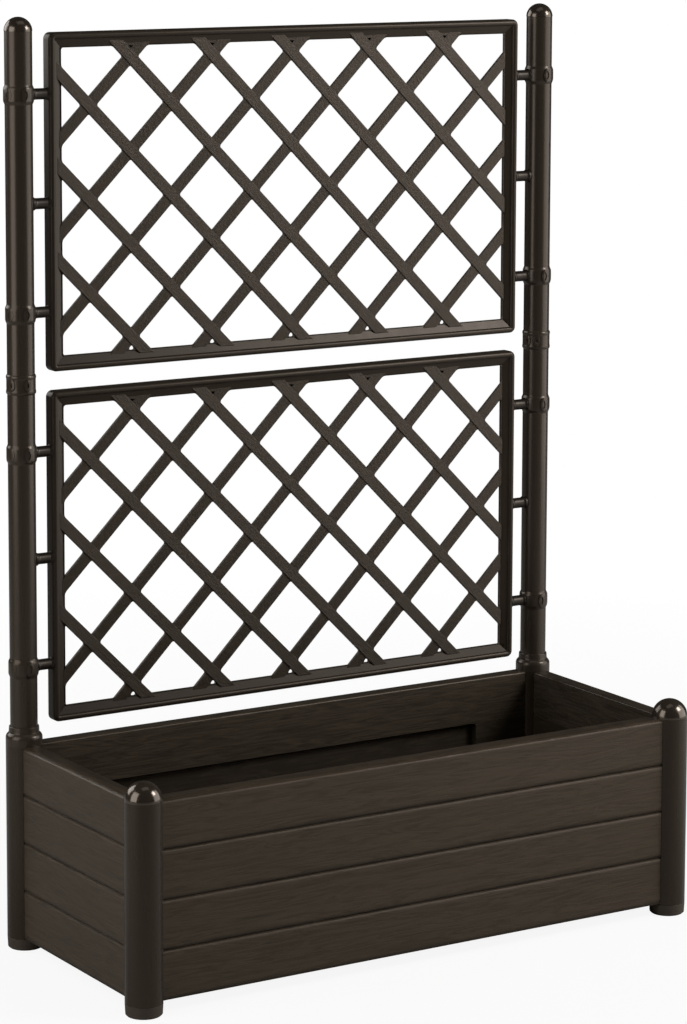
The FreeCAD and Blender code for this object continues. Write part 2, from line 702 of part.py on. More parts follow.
# Lattice panels. Each is one moulding: a hollow-backed frame with a rounded bead and a sloping flange, slats
# in two directions that cross at right angles, one direction a step in front of the other, and six studs.
def make_panel_frame(name):
    body = new_body(name, False)
    half_width = PANEL_WIDTH / 2
    half_height = size.panel_height / 2
    half_depth = size.panel_depth / 2
    flange_front = half_depth - size.bead_height
    flange_inner = flange_front - size.flange_fall
    bead_inner_x = half_width - size.bead_width
    bead_inner_y = half_height - size.bead_width
    opening_x = half_width - size.member_width
    opening_y = half_height - size.member_width

    block = new_sketch(body, "block", "XZ_Plane", half_depth)
    rounded_rectangle(block, half_width, half_height, size.panel_corner)
    pad(body, "block_pad", block, size.panel_depth, True)

    front = new_sketch(body, "front", "XZ_Plane", half_depth)
    rectangle(front, -bead_inner_x, -bead_inner_y, bead_inner_x, bead_inner_y)
    pocket(body, "front_cut", front, size.bead_height)

    slope_outer = new_sketch(body, "slope_outer", "XZ_Plane", flange_front)
    rectangle(slope_outer, -bead_inner_x, -bead_inner_y, bead_inner_x, bead_inner_y)
    slope_inner = new_sketch(body, "slope_inner", "XZ_Plane", flange_inner)
    rectangle(slope_inner, -opening_x, -opening_y, opening_x, opening_y)
    slope = body.newObject("PartDesign::SubtractiveLoft", body.Name + "_slope")
    slope.Profile = slope_outer
    slope.Sections = [slope_inner]
    slope.Ruled = True

    opening = new_sketch(body, "opening", "XZ_Plane", half_depth)
    rounded_rectangle(opening, opening_x, opening_y, size.opening_corner)
    pocket(body, "opening_cut", opening, size.panel_depth)

    hollow = new_sketch(body, "hollow", "XZ_Plane", -half_depth)
    rounded_rectangle(hollow, half_width - size.rim_wall, half_height - size.rim_wall,
                      size.panel_corner - size.rim_wall)
    pocket(body, "back_hollow", hollow, half_depth + flange_inner - size.flange_edge, True)

    front_face = -half_depth.number

    def on_front(edge, middle):
        return abs(middle.y - front_face) < EDGE_TOLERANCE and abs(
            edge.valueAt(edge.FirstParameter).y - front_face) < EDGE_TOLERANCE

    def on_bead_inside(edge, middle):
        inside_x = abs(middle.x) < bead_inner_x.number + EDGE_TOLERANCE
        inside_z = abs(middle.z) < bead_inner_y.number + EDGE_TOLERANCE
        return on_front(edge, middle) and inside_x and inside_z

    def on_bead_outside(edge, middle):
        return on_front(edge, middle) and not on_bead_inside(edge, middle)

    round_edges(body, "bead_outside", size.bead_width * 0.5, on_bead_outside)
    round_edges(body, "bead_inside", size.bead_height * 0.9, on_bead_inside)
    return body


def make_stud(name, side, height, seat_radius):
    """A round stud from the panel's side to a pole or ring, whose end is hollowed to sit on that round face
    and carries a square tenon."""
    body = new_body(name, False)
    stud = new_sketch(body, "stud", "XZ_Plane")
    stud_radius = size.stud_diameter / 2
    near = POLE_RADIUS - size.tenon_depth
    far = size.panel_side_gap
    outline(stud, [
        (near, 0),
        (far + size.stud_root, 0),
        (far + size.stud_root, stud_radius + size.stud_flare),
        (far, stud_radius + size.stud_flare),
        (far - size.stud_flare, stud_radius),
        (near, stud_radius),
    ])
    revolve(body, "stud_turned", stud, "H_Axis")
    saddle = new_sketch(body, "saddle", "XY_Plane", -stud_radius)
    circle(saddle, 0, 0, seat_radius)
    pocket(body, "saddle_cut", saddle, size.stud_diameter, True)
    tenon = new_sketch(body, "tenon", "YZ_Plane", near)
    half_tenon = size.tenon_width / 2
    rectangle(tenon, -half_tenon, -half_tenon, half_tenon, half_tenon)
    pad(body, "tenon_pad", tenon, far - near)
    place(body, HALF_X * side, 0, height, 0.0 if side < 0 else 180.0)
    return body


def make_slats(name, lean, front_face, clip_box):
    """Slats of one direction. A lean of 1 falls to the right and a lean of -1 falls to the left."""
    pitch = size.slat_spacing * math.sqrt(2)
    half_run = size.slat_width * math.sqrt(2) / 2
    reach = (PANEL_WIDTH + size.panel_height) / 2 - size.member_width * 2
    half_height = size.panel_height / 2
    count = math.floor(reach.number / pitch.number + 0.5)
    sketch = document.addObject("Sketcher::SketchObject", name + "_sketch")
    sketch.Placement = FreeCAD.Placement(
        FreeCAD.Vector(), FreeCAD.Rotation(FreeCAD.Vector(1, 0, 0), 90))
    bind(sketch, "Placement.Base.y", front_face)
    sketch.Visibility = False
    for step in range(-count, count):
        middle = pitch * (step + 0.5) + size.slat_rise * lean
        top = middle - half_height * lean
        bottom = middle + half_height * lean
        outline(sketch, [
            (bottom - half_run, -half_height),
            (bottom + half_run, -half_height),
            (top + half_run, half_height),
            (top - half_run, half_height),
        ])
    slats = document.addObject("Part::Extrusion", name + "_long")
    slats.Base = sketch
    slats.DirMode = "Normal"
    slats.Solid = True
    slats.Reversed = True
    bind(slats, "LengthFwd", size.slat_thickness)
    clipped = document.addObject("Part::Common", name)
    clipped.Base = slats
    clipped.Tool = clip_box
    return clipped


def make_trellis(label, middle_height):
    frame = make_panel_frame(label + "_frame")
    clip_x = PANEL_WIDTH / 2 - size.bead_width + size.slat_hold
    clip_z = size.panel_height / 2 - size.bead_width + size.slat_hold
    clips = []
    for direction in ("front", "rear"):
        clip_box = document.addObject("Part::Box", "%s_%s_clip" % (label, direction))
        bind(clip_box, "Length", clip_x * 2)
        bind(clip_box, "Width", size.panel_depth)
        bind(clip_box, "Height", clip_z * 2)
        place(clip_box, -clip_x, -size.panel_depth / 2, -clip_z)
        clips.append(clip_box)
    front_face = size.slat_inset - size.panel_depth / 2
    front_slats = make_slats(label + "_front_slats", 1, front_face, clips[0])
    rear_slats = make_slats(label + "_rear_slats", -1, front_face + size.slat_step, clips[1])
    pieces = [frame, front_slats, rear_slats]
    for side_name, side in SIDES:
        stud_name = "%s_%s_stud_" % (label, side_name)
        pieces.append(make_stud(stud_name + "bottom", side, -size.stud_spacing, RING_RADIUS))
        pieces.append(make_stud(stud_name + "middle", side, 0, POLE_RADIUS))
        pieces.append(make_stud(stud_name + "top", side, size.stud_spacing, RING_RADIUS))
    trellis = document.addObject("Part::MultiFuse", label)
    trellis.Label = label
    trellis.Shapes = pieces
    trellis.Refine = True
    place(trellis, 0, HALF_Y, middle_height)
    node_objects.append(trellis)


make_trellis("lower_trellis", LOWER_PANEL_MIDDLE)
make_trellis("upper_trellis", UPPER_PANEL_MIDDLE)

document.recompute()

# Every object has to have worked, every cut has to have removed something, and every piece is whole
for item in document.Objects:
    if "Invalid" in item.State or "Error" in item.State:
        raise RuntimeError("%s failed: %s" % (item.Name, item.State))
    if item.TypeId in ("PartDesign::Pocket", "PartDesign::SubtractiveLoft"):
        if item.Shape.Volume > item.BaseFeature.Shape.Volume - 1.0:
            raise RuntimeError("%s cuts nothing" % item.Name)
for item in node_objects:
    if item.Shape.isNull() or not item.Shape.isValid():
        raise RuntimeError("%s has no valid shape" % item.Label)

os.makedirs("parts", exist_ok=True)
for item in node_objects:
    item.Shape.exportStep("parts/%s.step" % item.Label)
    print("%-30s %9.0f mm3  %d solid" % (item.Label, item.Shape.Volume, len(item.Shape.Solids)))
print(len(node_objects), "pieces")
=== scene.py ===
import math
import bmesh
import bpy
from mathutils import Matrix, Vector


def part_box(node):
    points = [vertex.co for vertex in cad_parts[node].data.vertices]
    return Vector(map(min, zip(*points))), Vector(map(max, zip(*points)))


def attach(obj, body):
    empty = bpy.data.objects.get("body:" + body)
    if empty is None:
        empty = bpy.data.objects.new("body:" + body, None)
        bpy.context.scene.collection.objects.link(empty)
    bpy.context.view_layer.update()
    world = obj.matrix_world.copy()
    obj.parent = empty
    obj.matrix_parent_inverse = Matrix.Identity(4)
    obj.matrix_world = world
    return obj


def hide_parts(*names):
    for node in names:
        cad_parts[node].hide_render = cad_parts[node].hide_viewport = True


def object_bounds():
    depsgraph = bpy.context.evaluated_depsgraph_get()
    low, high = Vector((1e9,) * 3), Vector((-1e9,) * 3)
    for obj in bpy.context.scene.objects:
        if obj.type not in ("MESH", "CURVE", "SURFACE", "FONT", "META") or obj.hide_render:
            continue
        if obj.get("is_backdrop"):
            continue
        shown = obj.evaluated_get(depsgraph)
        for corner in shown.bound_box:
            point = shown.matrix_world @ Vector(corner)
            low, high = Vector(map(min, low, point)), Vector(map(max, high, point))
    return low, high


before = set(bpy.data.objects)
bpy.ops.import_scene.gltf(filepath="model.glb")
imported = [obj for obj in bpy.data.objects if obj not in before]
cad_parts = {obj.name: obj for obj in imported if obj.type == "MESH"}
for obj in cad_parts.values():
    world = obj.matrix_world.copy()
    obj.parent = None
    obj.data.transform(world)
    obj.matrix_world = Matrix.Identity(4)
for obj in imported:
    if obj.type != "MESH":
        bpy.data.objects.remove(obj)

cad_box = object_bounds()


# Base floor. A ribbed resin plate with drain holes, moulded in one piece with a fine matt surface. Its edges
# lie in grooves of the four walls, so it goes in while the walls are put up round it.
FLOOR_COLOUR = (0.028, 0.021, 0.015)
FLOOR_STIPPLE = (0.0011, 0.00012)  # the size and the depth of its grain
WARM_SHINE = (1.0, 0.84, 0.70, 1.0)
# Between these heights of an embossed pattern the resin goes from the first shade to the second
TONE_HEIGHTS, TONE_SHADES = (0.1, 0.6), (0.45, 1.06)


def new_resin(name, colour, roughness, specular):
    """A moulded resin, whose highlights are a little warm."""
    resin = bpy.data.materials.new(name)
    resin.use_nodes = True
    shader = resin.node_tree.nodes["Principled BSDF"]
    shader.inputs["Base Color"].default_value = (*colour, 1.0)
    shader.inputs["Roughness"].default_value = roughness
    shader.inputs["Specular IOR Level"].default_value = specular
    shader.inputs["Specular Tint"].default_value = WARM_SHINE
    return resin


def add_node(owner, kind, settings, inputs):
    """Adds a shader node, sets its options, and joins its inputs to values or to other nodes' outputs."""
    node = owner.node_tree.nodes.new("ShaderNode" + kind)
    for name, value in settings.items():
        setattr(node, name, value)
    for name, value in inputs.items():
        if isinstance(value, bpy.types.NodeSocket):
            owner.node_tree.links.new(value, node.inputs[name])
        else:
            node.inputs[name].default_value = value
    return node


def feed_shader(resin, name, value):
    """Joins a value to one of the resin's own inputs."""
    resin.node_tree.links.new(value, resin.node_tree.nodes["Principled BSDF"].inputs[name])


def pattern_place(resin, size, turn=(0.0, 0.0, 0.0)):
    """The place within the object, for a pattern of that size in metres along its own turned axes."""
    place = add_node(resin, "TexCoord", {}, {})
    return add_node(resin, "Mapping", {"vector_type": "TEXTURE"}, {
        "Vector": place.outputs["Object"], "Scale": size, "Rotation": turn}).outputs["Vector"]


def cloudy(resin, place, detail, roughness=0.5, distortion=0.0):
    """An uneven pattern between 0 and 1."""
    return add_node(resin, "TexNoise", {}, {
        "Vector": place, "Scale": 1.0, "Detail": detail, "Roughness": roughness,
        "Distortion": distortion}).outputs["Fac"]


def remap(owner, value, low, high, at_low, at_high):
    """Turns values from low to high into values from at_low to at_high, and stops there."""
    return add_node(owner, "MapRange", {}, {
        "Value": value, "From Min": low, "From Max": high, "To Min": at_low, "To Max": at_high}).outputs[0]


def add_tones(resin, colour, spread, place, height=None):
    """Lets the resin's colour drift a little, and darkens what lies low in an embossed pattern."""
    # The light tones are warmer than the dark ones
    low = [part * (1.0 - spread * share) for part, share in zip(colour, (1.0, 0.8, 0.9))]
    high = [part * (1.0 + spread * share) for part, share in zip(colour, (1.0, 0.5, 0.6))]
    tones = add_node(resin, "Mix", {"data_type": "RGBA"}, {
        0: cloudy(resin, place, 3.0), 6: (*low, 1.0), 7: (*high, 1.0)}).outputs[2]
    if height is not None:
        shade = remap(resin, height, *TONE_HEIGHTS, *TONE_SHADES)
        tones = add_node(resin, "VectorMath", {"operation": "SCALE"}, {
            "Vector": tones, "Scale": shade}).outputs["Vector"]
    feed_shader(resin, "Base Color", tones)


def add_relief(resin, height, distance):
    """Embosses a pattern. distance is how far its value of 1 stands above its value of 0."""
    relief = add_node(resin, "Bump", {}, {"Height": height, "Distance": distance, "Strength": 1.0})
    feed_shader(resin, "Normal", relief.outputs["Normal"])


def add_gloss(resin, value, lowest, highest):
    """Lets the roughness follow a pattern."""
    feed_shader(resin, "Roughness", remap(resin, value, 0.0, 1.0, lowest, highest))


def stippled_resin(name, colour, roughness, specular, grain, distance):
    """Resin from a mould with an etched, evenly grained wall."""
    resin = new_resin(name, colour, roughness, specular)
    stipple = cloudy(resin, pattern_place(resin, (grain,) * 3), 3.0, 0.6)
    add_tones(resin, colour, 0.12, pattern_place(resin, (0.1, 0.1, 0.1)), stipple)
    add_gloss(resin, stipple, roughness - 0.08, roughness + 0.08)
    add_relief(resin, stipple, distance)
    return resin


def finish_node(node, resin):
    """Gives a CAD node its finish."""
    piece = bpy.data.objects[node]
    piece.data.materials.clear()
    piece.data.materials.append(resin)


finish_node("base_floor", stippled_resin("floor_resin", FLOOR_COLOUR, 0.6, 0.4, *FLOOR_STIPPLE))


# Walls. Four resin boards, each moulded in one piece to look like four planks. A faint wood grain runs along
# them on the outside, the rim and the top plank of the inside; below that plank the inside is smooth.
PLANK_COLOUR = (0.0455, 0.0345, 0.0225)
PLANK_HEIGHT = 0.0745
WALL_LIFT = 0.020
LONG_WALL_INSIDE, SHORT_WALL_INSIDE = 0.190, 0.475  # what is nearer to the object's middle is inside
TOP_PLANK_FOOT = 0.2435
RIM_SHOULDER = 0.3145
FIBRE_WIDTH, FIBRE_LENGTH = 0.0042, 0.060
FIGURE_WIDTH, FIGURE_HEIGHT, FIGURE_LENGTH = 0.036, 0.018, 0.22
FIGURE_RINGS, FIGURE_SHARE = 11.0, 0.25
GRAIN_STEP = 3.17
EDGE_ROUND = 0.0036
EDGE_WEAR = 0.016
RELIEF_DEPTH, GRAIN_SHARE, GROOVE_SHARE = 0.0012, 0.34, 1.9
# Painted shade under a plank's lower edge, on the inside, and deeper still on the inside's smooth part, in
# the measure of the grain's height
UNDER_EDGE_PAINTED_SHADE, UNDER_EDGE_RISE, UNDER_EDGE_SHARPNESS = 0.25, 0.35, 1.9
INSIDE_PAINTED_SHADES = (0.15, 0.26)  # of the long and of the short walls
SMOOTH_PART_PAINTED_SHADE = 0.22


def arithmetic(owner):
    """Gives a function that joins two numbers, or nodes' outputs, by one operation."""
    def number(operation, first, second=0.0):
        return add_node(owner, "Math", {"operation": operation}, {0: first, 1: second}).outputs[0]
    return number


def object_place(owner):
    """The place within the object, whole and as its X, Y and Z."""
    place = add_node(owner, "TexCoord", {}, {}).outputs["Object"]
    return place, add_node(owner, "SeparateXYZ", {}, {"Vector": place}).outputs


def plank_resin(name, along):
    """along is 0 for walls that run from left to right, and 1 for walls that run from front to back."""
    resin = new_resin(name, PLANK_COLOUR, 0.5, 0.3)
    number = arithmetic(resin)

    def hill(off):
        """1 at off = 0, and falling away to both sides."""
        return number("EXPONENT", number("MULTIPLY", number("MULTIPLY", off, off), -1.0))

    place, parts = object_place(resin)
    planks_up = number("DIVIDE", number("SUBTRACT", parts["Z"], WALL_LIFT), PLANK_HEIGHT)
    if along == 0:
        inside = number("LESS_THAN", number("ABSOLUTE", parts["Y"]), LONG_WALL_INSIDE)
    else:
        inside = number("LESS_THAN", number("ABSOLUTE", parts["X"]), SHORT_WALL_INSIDE)
    outside = number("SUBTRACT", 1.0, inside)
    smooth = number("MULTIPLY", inside, number("LESS_THAN", parts["Z"], TOP_PLANK_FOOT))

    # Each plank has its own stretch of the grain
    shift = number("MULTIPLY", number("FLOOR", planks_up), GRAIN_STEP)
    shifts = add_node(resin, "CombineXYZ", {}, {"X": shift, "Y": shift})
    moved = add_node(resin, "VectorMath", {"operation": "ADD"}, {0: place, 1: shifts.outputs["Vector"]})
    fibre_size = [FIBRE_WIDTH] * 3
    figure_size = [FIGURE_WIDTH, FIGURE_WIDTH, FIGURE_HEIGHT]
    fibre_size[along] = FIBRE_LENGTH
    figure_size[along] = FIGURE_LENGTH
    fibre_place, figure_place = [
        add_node(resin, "Mapping", {"vector_type": "TEXTURE"}, {
            "Vector": moved.outputs["Vector"], "Scale": size}).outputs["Vector"]
        for size in (fibre_size, figure_size)]
    fibres = cloudy(resin, fibre_place, 4.0, 0.62, 0.7)
    figure = cloudy(resin, figure_place, 3.0, 0.5, 1.4)
    rings = number("PINGPONG", number("MULTIPLY", figure, FIGURE_RINGS), 1.0)
    height = add_node(resin, "Mix", {"data_type": "FLOAT"}, {
        0: FIGURE_SHARE, 2: fibres, 3: rings}).outputs[0]

    # The planks' edges fall into the grooves with a worn, uneven round
    wear = cloudy(resin, pattern_place(resin, (0.010, 0.010, 0.004)), 3.0)
    worn = number("ADD", planks_up, number("MULTIPLY", number("SUBTRACT", wear, 0.5), EDGE_WEAR))
    off = number("MULTIPLY", number("SUBTRACT", worn, number("ROUND", worn)), PLANK_HEIGHT / EDGE_ROUND)
    groove = number("MULTIPLY", hill(off), outside)
    grain = number("MULTIPLY", height, number("SUBTRACT", 1.0, smooth))
    add_relief(resin, number("SUBTRACT", number("MULTIPLY", grain, GRAIN_SHARE),
                             number("MULTIPLY", groove, GROOVE_SHARE)), RELIEF_DEPTH)

    # Painted shade: little light gets under a plank's lower edge, and the inside of the trough, most of all
    # its smooth part below the top plank, lies in shadow
    under = hill(number("MULTIPLY", number("SUBTRACT", off, UNDER_EDGE_RISE), UNDER_EDGE_SHARPNESS))
    shade = number("MULTIPLY", number("MULTIPLY", under, outside), UNDER_EDGE_PAINTED_SHADE)
    shade = number("ADD", shade, number("MULTIPLY", inside, INSIDE_PAINTED_SHADES[along]))
    shade = number("ADD", shade, number("MULTIPLY", smooth, SMOOTH_PART_PAINTED_SHADE))
    add_tones(resin, PLANK_COLOUR, 0.14, figure_place, number("SUBTRACT", height, shade))

    # Hands have polished the top of the rim
    polished = number("GREATER_THAN", parts["Z"], RIM_SHOULDER)
    add_gloss(resin, number("MULTIPLY", height, number("SUBTRACT", 1.0, polished)), 0.36, 0.64)
    return resin


long_planks = plank_resin("plank_resin_long", 0)
short_planks = plank_resin("plank_resin_short", 1)
for wall, planks in (("front_wall", long_planks), ("back_wall", long_planks),
                     ("left_wall", short_planks), ("right_wall", short_planks)):
    finish_node(wall, planks)


# Corner posts. Round resin mouldings, smooth and satin, with slots inside that take the walls' tongues. Faint
# flow marks of the moulding run up them.
POST_COLOUR = (0.022, 0.0162, 0.0105)
CORNERS = ("front_left", "front_right", "rear_left", "rear_right")


def smooth_resin(name, colour, roughness, specular):
    """Resin from a polished mould, with a fine orange peel and faint upright flow marks."""
    resin = new_resin(name, colour, roughness, specular)
    flow = cloudy(resin, pattern_place(resin, (0.022, 0.022, 0.3)), 4.0, 0.6)
    add_tones(resin, colour, 0.10, pattern_place(resin, (0.03, 0.03, 0.4)))
    add_gloss(resin, flow, roughness - 0.07, roughness + 0.07)
    add_relief(resin, cloudy(resin, pattern_place(resin, (0.004, 0.004, 0.008)), 2.0), 0.00004)
    return resin


post_resin = smooth_resin("post_resin", POST_COLOUR, 0.26, 0.38)
for corner in CORNERS:
    finish_node(corner + "_post", post_resin)


# Feet. Short drums pushed up into the posts. Their mould is frosted, so they look lighter than the posts.
FOOT_COLOUR = (0.042, 0.034, 0.026)
FOOT_STIPPLE = (0.0007, 0.0001)
foot_resin = stippled_resin("foot_resin", FOOT_COLOUR, 0.62, 0.4, *FOOT_STIPPLE)
for corner in CORNERS:
    finish_node(corner + "_foot", foot_resin)


# Dome caps and collars. Moulded resin. The domes are glossy, and their plugs close the front posts. The
# collars lead the poles out of the rear ones. Both sit so closely on the posts that hardly a seam shows.
POST_X, POST_Y = 0.472, 0.187
RIM_HEIGHT = 0.318
POST_RADIUS = 0.02803
SKIRT_BORE, SKIRT_RADIUS, SKIRT_DROP = 0.0272, 0.0279, 0.0025
DOME_HEIGHT = 0.0272
DOME_COLOUR = (0.023, 0.0174, 0.0122)
COLLAR_COLOUR = (0.028, 0.0212, 0.0150)
DOME_TURNS = [math.radians(90.0 * step / 14) for step in range(14)]
SKIRT = [(SKIRT_BORE, -SKIRT_DROP), (SKIRT_RADIUS, -SKIRT_DROP)]
DOME_SECTION = [(0.0, 0.0002), (SKIRT_BORE, 0.0002)] + SKIRT + [
    (POST_RADIUS * math.cos(turn), DOME_HEIGHT * math.sin(turn)) for turn in DOME_TURNS] + [
    (0.0, DOME_HEIGHT)]
COLLAR_SECTION = [(0.0206, 0.0), (SKIRT_BORE, 0.0)] + SKIRT + [
    (POST_RADIUS, 0.0), (POST_RADIUS, 0.0098), (0.0279, 0.0118), (0.0274, 0.0136), (0.0266, 0.0151),
    (0.0256, 0.0163), (0.0246, 0.0173), (0.0240, 0.0181), (0.0236, 0.0184), (0.0235, 0.0189),
    (0.0232, 0.0215), (0.0230, 0.0260), (0.0228, 0.0274), (0.0223, 0.0280), (0.0215, 0.0280),
    (0.0206, 0.0276)]


def turned(profile):
    """A solid turned from a section of (radius, height) points, which closes on itself or on the axis."""
    shape = bmesh.new()
    corners = [shape.verts.new((radius, 0.0, height)) for radius, height in profile]
    first = 1 if profile[0][0] == 0 else 0
    sides = [shape.edges.new((corners[index - 1], corners[index])) for index in range(first, len(corners))]
    bmesh.ops.spin(shape, geom=corners + sides, cent=(0, 0, 0), axis=(0, 0, 1),
                   angle=2 * math.pi, steps=72, use_merge=True, use_duplicate=False)
    bmesh.ops.remove_doubles(shape, verts=shape.verts[:], dist=0.000001)
    bmesh.ops.recalc_face_normals(shape, faces=shape.faces[:])
    return shape


def make_piece(name, shape, resin, nodes, crease=25.0):
    """Turns a finished shape into a piece that stands for CAD nodes. Edges past crease degrees stay sharp."""
    mesh = bpy.data.meshes.new(name)
    shape.to_mesh(mesh)
    shape.free()
    mesh.shade_smooth()
    mesh.set_sharp_from_angle(angle=math.radians(crease))
    mesh.materials.append(resin)
    piece = bpy.data.objects.new(name, mesh)
    bpy.context.scene.collection.objects.link(piece)
    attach(piece, "root")
    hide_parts(*nodes)


cap_resin = smooth_resin("cap_resin", COLLAR_COLOUR, 0.27, 0.38)
dome_resin = smooth_resin("dome_resin", DOME_COLOUR, 0.17, 0.9)
for side, across in (("left", -POST_X), ("right", POST_X)):
    dome = turned(DOME_SECTION)
    bmesh.ops.translate(dome, vec=(across, -POST_Y, RIM_HEIGHT), verts=dome.verts[:])
    make_piece("front_%s_dome" % side, dome, dome_resin, ["front_%s_dome_cap" % side])
    collar = turned(COLLAR_SECTION)
    bmesh.ops.translate(collar, vec=(across, POST_Y, RIM_HEIGHT), verts=collar.verts[:])
    make_piece("rear_%s_neck" % side, collar, cap_resin, ["rear_%s_collar" % side])


# Poles. Two extruded resin tubes to each side, satin, with a domed cap pushed into the upper one.
POLE_COLOUR = (0.028, 0.0212, 0.0150)
pole_resin = smooth_resin("pole_resin", POLE_COLOUR, 0.27, 0.38)
for pole in ("lower_left_pole", "lower_right_pole", "upper_left_pole", "upper_right_pole"):
    finish_node(pole, pole_resin)
for cap in ("left_pole_cap", "right_pole_cap"):
    finish_node(cap, dome_resin)


# Pole couplers. A moulded sleeve round the joint of two tubes, with a lip near each end, a fine seam above
# the lower lip, and raised oval discs with a slot where the mould's pins went in.
SLEEVE_RADIUS = 0.0221
COUPLER_SECTION = [
    (0.0205, -0.0150), (0.0212, -0.0150), (0.0219, -0.0142), (0.0224, -0.0130), (0.0227, -0.0121),
    (0.0227, -0.0113), (0.0224, -0.0110), (0.0224, -0.0107), (0.0226, -0.0104), (0.0225, -0.0097),
    (0.0222, -0.0086), (SLEEVE_RADIUS, -0.0070), (SLEEVE_RADIUS, 0.0070), (0.0222, 0.0086),
    (0.0225, 0.0100), (0.0227, 0.0111), (0.0227, 0.0121), (0.0224, 0.0130), (0.0219, 0.0142),
    (0.0212, 0.0150), (0.0205, 0.0150)]
DISC = ((0.0100, 0.0180), 0.0015, (0.0032, 0.0078), 0.0014)  # size, rise, slot's size and slot's depth
LEFT_DISC_TURNS, RIGHT_DISC_TURNS = (0.0, -64.0), (-32.0, -71.0)
OVAL_ROOT = 0.0011  # how far an oval reaches into what it stands on
OVAL_EDGE = 0.0005


def widest_face(faces):
    return max(faces, key=lambda face: face.calc_area())


def draw_in(shape, face, inward, forward):
    """One step of a section: the face shrinks by inward and moves by forward along its normal."""
    if inward > 0:
        bmesh.ops.inset_region(shape, faces=[face], thickness=inward, depth=forward,
                               use_even_offset=True, use_boundary=True)
        return face
    push = face.normal * forward
    grown = bmesh.ops.extrude_face_region(shape, geom=[face])["geom"]
    corners = [item for item in grown if isinstance(item, bmesh.types.BMVert)]
    bmesh.ops.translate(shape, vec=push, verts=corners)
    return widest_face([item for item in grown if isinstance(item, bmesh.types.BMFace)])


def add_oval(ring, radius, turn, size, rise, hole, hole_depth):
    """A raised oval with an oval hole, bent round the ring. turn is in degrees from front to right."""
    oval = bmesh.new()
    bmesh.ops.create_circle(oval, cap_ends=True, segments=40, radius=0.5)
    bmesh.ops.scale(oval, vec=(size[0], size[1], 1.0), verts=oval.verts[:])
    bmesh.ops.translate(oval, vec=(0, 0, -OVAL_ROOT), verts=oval.verts[:])
    face = oval.faces[:][0]
    if face.normal.z < 0:
        bmesh.ops.reverse_faces(oval, faces=[face])
    # The outer edge is rounded in two steps, the hole's edge is eased, and the hole goes straight in
    face = draw_in(oval, face, 0.0, OVAL_ROOT + rise - OVAL_EDGE)
    face = draw_in(oval, face, OVAL_EDGE * 0.3, OVAL_EDGE * 0.7)
    face = draw_in(oval, face, OVAL_EDGE * 0.7, OVAL_EDGE * 0.3)
    face = draw_in(oval, face, (size[0] - hole[0]) / 2 - OVAL_EDGE * 1.6, 0.0)
    stretch = hole[1] / (size[1] - (size[0] - hole[0]))
    bmesh.ops.scale(oval, vec=(1.0, stretch, 1.0), verts=face.verts[:])
    face = draw_in(oval, face, OVAL_EDGE * 0.6, OVAL_EDGE * -0.6)
    draw_in(oval, face, OVAL_EDGE * 0.2, -hole_depth)
    for corner in oval.verts:
        angle = math.radians(turn) + corner.co.x / radius
        out = radius + corner.co.z
        corner.co = Vector((out * math.sin(angle), -out * math.cos(angle), corner.co.y))
    part = bpy.data.meshes.new("oval")
    oval.to_mesh(part)
    oval.free()
    ring.from_mesh(part)
    bpy.data.meshes.remove(part)


def node_middle(node):
    low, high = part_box(node)
    return (low + high) / 2


for side, across, turns in (("left", -POST_X, LEFT_DISC_TURNS), ("right", POST_X, RIGHT_DISC_TURNS)):
    coupler = turned(COUPLER_SECTION)
    for turn in turns:
        add_oval(coupler, SLEEVE_RADIUS, turn, *DISC)
    bmesh.ops.translate(coupler, vec=(across, POST_Y, node_middle(side + "_pole_coupler").z),
                        verts=coupler.verts[:])
    make_piece(side + "_coupler_sleeve", coupler, cap_resin, [side + "_pole_coupler"])


# Clip rings. Wide moulded snap rings round the poles where the panels' outer studs meet them. They swell
# smoothly, and have a raised oval eye in front, through which the snap is let go, and a flat one at the side.
RING_RADIUS = 0.0230
RING_SECTION = [
    (0.0205, -0.0150), (0.0209, -0.0150), (0.0210, -0.0143), (0.0213, -0.0133), (0.0218, -0.0122),
    (0.0223, -0.0111), (0.0227, -0.0100), (0.0229, -0.0090), (RING_RADIUS, -0.0078), (RING_RADIUS, 0.0078),
    (0.0229, 0.0090), (0.0227, 0.0100), (0.0223, 0.0111), (0.0218, 0.0122), (0.0213, 0.0133),
    (0.0210, 0.0143), (0.0209, 0.0150), (0.0205, 0.0150)]
EYE = ((0.0115, 0.0230), 0.0015, (0.0056, 0.0130), 0.0024)  # size, rise, hole and the hole's depth
FLAT_EYE = ((0.0115, 0.0190), 0.0004, (0.0070, 0.0140), 0.0003)
FLAT_EYE_TURN = 68.0
for level in ("lower", "upper"):
    for side, outwards in (("left", -1), ("right", 1)):
        for end in ("bottom", "top"):
            node = "%s_%s_%s_ring" % (level, side, end)
            ring = turned(RING_SECTION)
            add_oval(ring, RING_RADIUS, 0.0, *EYE)
            add_oval(ring, RING_RADIUS, FLAT_EYE_TURN * outwards, *FLAT_EYE)
            bmesh.ops.translate(ring, vec=(POST_X * outwards, POST_Y, node_middle(node).z),
                                verts=ring.verts[:])
            make_piece("%s_%s_%s_clip" % (level, side, end), ring, cap_resin, [node])


# Lattice panels, the frames. Each panel is one moulding. Its frame is hollow behind and has a round bead
# along the outer edge, a crease, and a flange that slopes back to the opening. Smooth and fairly glossy.
FRAME_COLOUR = (0.0245, 0.0182, 0.0124)
PANEL_X, PANEL_Z = 0.425, 0.255
PANEL_CORNER = 0.010
FRAME_BACK = -0.0105
CREASE_INSET = 0.0100
OPENING_INSET = 0.0228
SHEET_AREA = 0.1  # in square metres. Only the outline's first sheet and the opening are larger
